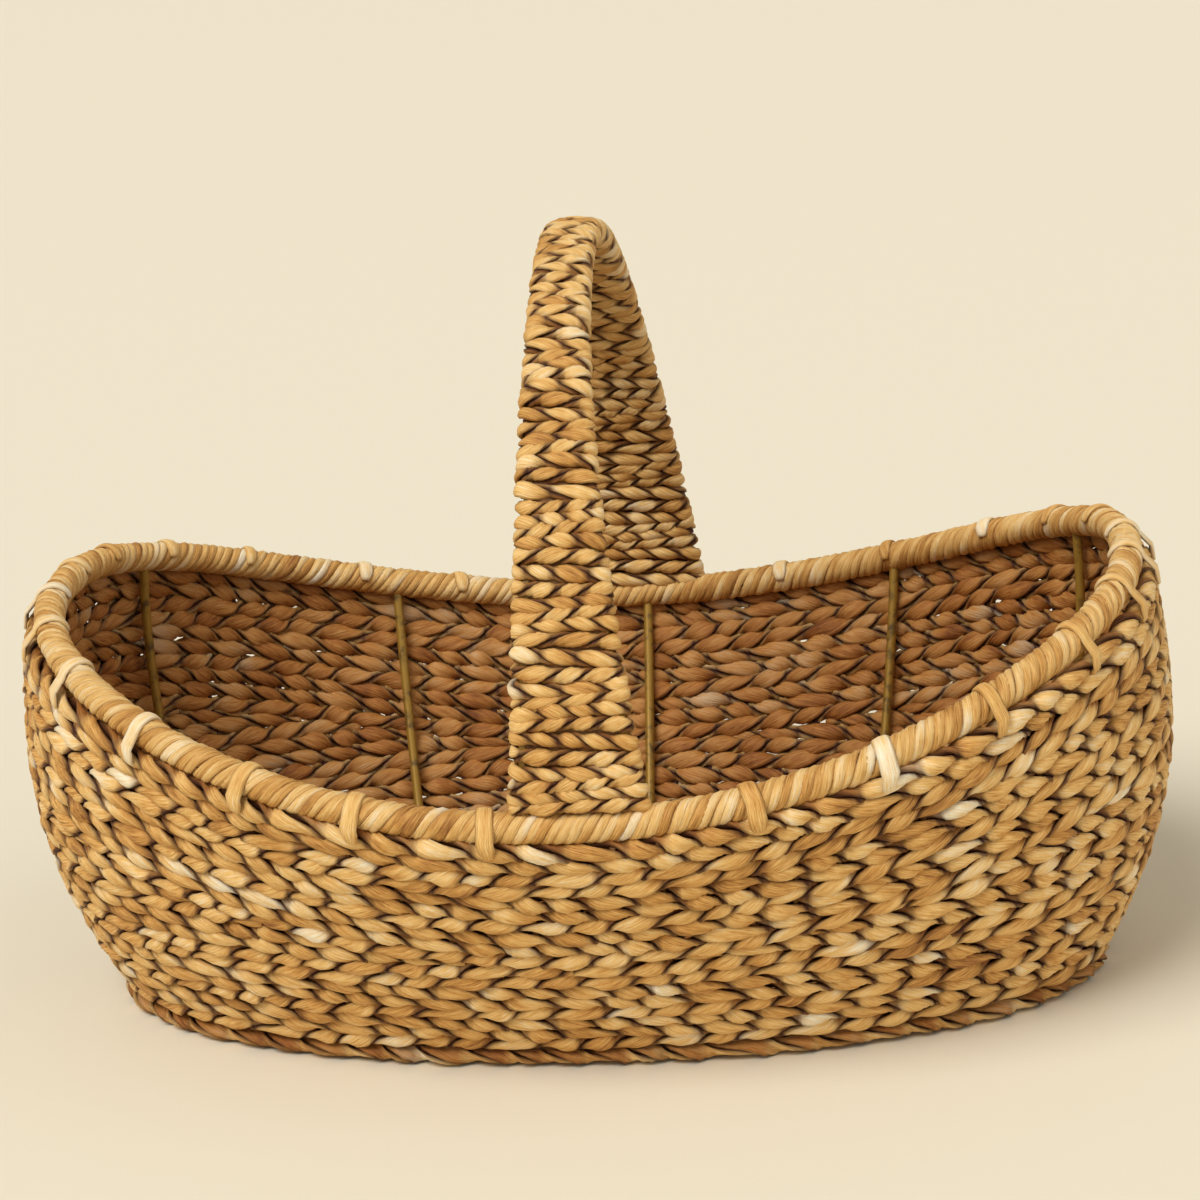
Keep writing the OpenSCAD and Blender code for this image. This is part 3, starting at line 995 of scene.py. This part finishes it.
@dataclass
class WovenHandle:
    """The handle: rows of two twined strands round the strap, from foot to foot."""

    shape: Shape
    handle_x: float = 12 * MM
    lean: float = -8 * MM
    top: float = 386 * MM
    arch_square: float = 1.9
    foot_w: float = 66 * MM
    grip_w: float = 29 * MM
    taper: float = 1.35
    foot_t: float = 13 * MM
    grip_t: float = 15 * MM
    row: float = 6.3 * MM
    row_inset: float = 3.2 * MM
    corner_square: float = 3.2
    slant: float = 0.32
    step: float = 2.3 * MM
    least_points: int = 16
    phase_step: float = 2.4
    overrun: float = 0.005
    fine_points: int = 1500
    way_step: float = 0.001
    core_inset: float = 4 * MM
    core_end: float = 0.004
    core_points: int = 90
    core_sides: int = 12
    core_tone: float = 0.1
    # Painted shade on the handle's core.
    core_deep: float = 0.8
    twine: Twine = field(default_factory=lambda: Twine(
        turn=30 * MM, swing=1.7 * MM, rise=1.4 * MM, half_w=3.8 * MM, pinch=2.6 * MM, half_t=1.7 * MM))
    foot_z: float = field(init=False)

    def __post_init__(self) -> None:
        """Reads the height of the feet from the frame."""
        self.foot_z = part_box("handle_weave")[0].z

    def arch(self, u: Array) -> tuple[Array, Array]:
        """Returns the middle of the strap.

        Args:
            u: Shares of the way from the front foot to the back foot.

        Returns:
            The points, and how far up the arch they are, from 0 at the feet to 1 at the top.
        """
        x, rise = oval(math.pi * u, self.arch_square)
        place = [self.handle_x + self.lean * rise, -self.shape.rim_b * x,
                 self.foot_z + (self.top - self.foot_z) * rise]
        return np.stack(place, -1), rise

    def strap(self, u: Array) -> tuple[Array, Array, Array, Array]:
        """Returns the strap's form.

        Args:
            u: Shares of the way from the front foot to the back foot.

        Returns:
            Its middle, its outward direction, its half width and its half thickness.
        """
        middle, rise = self.arch(u)
        way = unit(self.arch(u + self.way_step)[0] - self.arch(u - self.way_step)[0])
        out = unit(np.cross(np.array([1.0, 0, 0]), way))
        width = self.grip_w + (self.foot_w - self.grip_w) * np.clip(1 - rise, 0, 1) ** self.taper
        thick = self.foot_t + (self.grip_t - self.foot_t) * rise
        return middle, out, width / 2, thick / 2

    def build(self, rng: np.random.Generator, finish: bpy.types.Material) -> None:
        """Builds the rows, and the core that they are wound on.

        Args:
            rng: The seeded generator.
            finish: The material of the handle.
        """
        u = np.linspace(-self.overrun, 1 + self.overrun, self.fine_points)
        run = path_run(self.arch(u)[0])
        rows = int(run[-1] / self.row)
        shares = np.interp((np.arange(rows) + 0.5) / rows * run[-1], run, u)
        bundle = Bundle("handle_rows", Slot.HANDLE)
        for number, share in enumerate(shares):
            bundle.strands += self.one_row(rng, number, share, self.row * self.slant / run[-1])
        bundle.build(finish, "handle_weave")
        self.core(finish)

    def one_row(self, rng: np.random.Generator, number: int, share: float, slant: float) -> list[Strand]:
        """Returns the strands of one row round the strap.

        Args:
            rng: The seeded generator.
            number: The row's number, which sets its twist and phase.
            share: Where the row is on the strap.
            slant: How far the row leans, as a share of the strap.

        Returns:
            Two strands.
        """
        _, _, half_w, half_t = (part[0] for part in self.strap(np.array([share])))
        inner_w, inner_t = half_w - self.row_inset, half_t - self.row_inset
        count = max(self.least_points, round(4 * (inner_w + inner_t) / self.step))
        turn = np.linspace(0, TURN, count, endpoint=False)
        x, y = oval(turn, self.corner_square)
        middle, out, _, _ = self.strap(share + slant * np.sin(turn + number))
        across = np.array([1.0, 0, 0])
        centre = middle + across * (inner_w * x)[:, None] + out * (inner_t * y)[:, None]
        along = unit(np.roll(centre, -1, 0) - np.roll(centre, 1, 0))
        way = unit(np.cross(out, across))
        away = unit(np.cross(way, along))
        away *= np.sign(np.sum(away * (centre - middle), axis=1))[:, None]
        twist = Twist.RIGHT if number % 2 else Twist.LEFT
        return self.twine.pair(rng, centre, away, way, twist, number * self.phase_step, closed=True)

    def core(self, finish: bpy.types.Material) -> None:
        """Builds the core under the rows."""
        u = np.linspace(self.core_end, 1 - self.core_end, self.core_points)
        middle, out, half_w, half_t = self.strap(u)
        across = np.tile([1.0, 0, 0], (len(u), 1))
        # The core is darkened with painted shade and a low tone.
        tone, deep = np.full_like(u, self.core_tone), np.full_like(u, self.core_deep)
        inset = self.core_inset
        bundle = Bundle("handle_core", Slot.HANDLE, self.core_sides)
        bundle.strands.append(Strand(middle, across, out, half_w - inset, half_t - inset, tone, deep))
        bundle.build(finish)


@dataclass(frozen=True)
class Sun:
    """A soft light from far away: its strength, its spread and its tilt in degrees."""

    name: str
    strength: float
    spread: float
    tilt: Triple

    def build(self) -> None:
        """Makes the light."""
        data = bpy.data.lights.new(self.name, "SUN")
        data.energy, data.angle = self.strength, math.radians(self.spread)
        lamp = bpy.data.objects.new(self.name, data)
        lamp.rotation_euler = [math.radians(v) for v in self.tilt]
        bpy.context.scene.collection.objects.link(lamp)


@dataclass
class Studio:
    """A pale floor, soft light, and the camera where the picture was taken from."""

    azimuth: float = math.radians(6.478)
    elevation: float = math.radians(16.281)
    roll: float = math.radians(-3.926)
    distance: float = 1.7491
    focal_px: float = 3456.2
    frame_px: float = 1200.0
    sensor_mm: float = 36.0
    target: Triple = (0.00623, 0.0, 0.19922)
    cream: Triple = (0.80, 0.735, 0.585)
    floor_rough: float = 0.9
    floor_size: float = 40.0
    sky: Triple = (1.0, 0.94, 0.82)
    sky_strength: float = 0.42
    suns: tuple[Sun, ...] = (Sun("key", 2.3, 35, (38, -6, -28)), Sun("fill", 0.55, 70, (55, 0, 60)))

    def camera(self) -> None:
        """Makes the camera."""
        az, el = self.azimuth, self.elevation
        ahead = Vector((-math.sin(az) * math.cos(el), math.cos(az) * math.cos(el), -math.sin(el)))
        right = Vector((math.cos(az), math.sin(az), 0))
        up = right.cross(ahead)
        c, s = math.cos(self.roll), math.sin(self.roll)
        right, up = right * c + up * s, up * c - right * s
        data = bpy.data.cameras.new("camera")
        data.sensor_fit, data.sensor_width = "HORIZONTAL", self.sensor_mm
        data.lens = self.focal_px / self.frame_px * self.sensor_mm
        camera = bpy.data.objects.new("camera", data)
        turn = Matrix((right, up, -ahead)).transposed().to_4x4()
        camera.matrix_world = Matrix.Translation(Vector(self.target) - ahead * self.distance) @ turn
        bpy.context.scene.collection.objects.link(camera)
        bpy.context.scene.camera = camera

    def floor(self) -> None:
        """Makes the floor."""
        work = bmesh.new()
        bmesh.ops.create_grid(work, x_segments=1, y_segments=1, size=self.floor_size / 2)
        mesh = bpy.data.meshes.new("floor")
        work.to_mesh(mesh)
        work.free()
        finish = Finish("floor")
        finish.surface(Base_Color=(*self.cream, 1), Roughness=self.floor_rough)
        mesh.materials.append(finish.material)
        floor = bpy.data.objects.new("floor", mesh)
        bpy.context.scene.collection.objects.link(floor)

    def lights(self) -> None:
        """Makes the suns and an even sky."""
        for sun in self.suns:
            sun.build()
        world = bpy.data.worlds.new("world")
        world.use_nodes = True
        back = world.node_tree.nodes["Background"]
        back.inputs["Color"].default_value = (*self.sky, 1)
        back.inputs["Strength"].default_value = self.sky_strength
        bpy.context.scene.world = world

    def build(self) -> None:
        """Makes the whole studio."""
        self.camera()
        self.floor()
        self.lights()
        bpy.context.scene.view_settings.view_transform = "Standard"


@dataclass
class Wires:
    """The bare and the hidden rods, which are the CAD model's own."""

    def build(self, paint: bpy.types.Material) -> None:
        """Paints every CAD node that nothing replaces."""
        shown = [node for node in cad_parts.values() if not node.hide_render]
        for node in shown:
            for place in node.material_slots:
                place.material = paint
        LOG.info("wires: %d rods painted", len(shown))


def main() -> None:
    """Builds the studio and the basket's pieces."""
    logging.basicConfig(level=logging.INFO, format="%(message)s")
    rng = np.random.default_rng(SEED)
    Studio().build()
    shape = Shape()
    wall = Seagrass("wall_seagrass").build()
    base = Seagrass("base_seagrass").build()
    handle = Seagrass("handle_seagrass", brightness=0.03).build()
    binding = Seagrass("binding_seagrass").build()
    pale = Seagrass("stitch_seagrass", brightness=0.03).build()
    WovenWall(shape).build(rng, wall)
    WovenBase(shape).build(rng, base)
    BoundRim(shape).build(rng, binding, pale)
    WovenHandle(shape).build(rng, handle)
    Wires().build(GoldPaint().build())


if __name__ == "__main__":
    main()
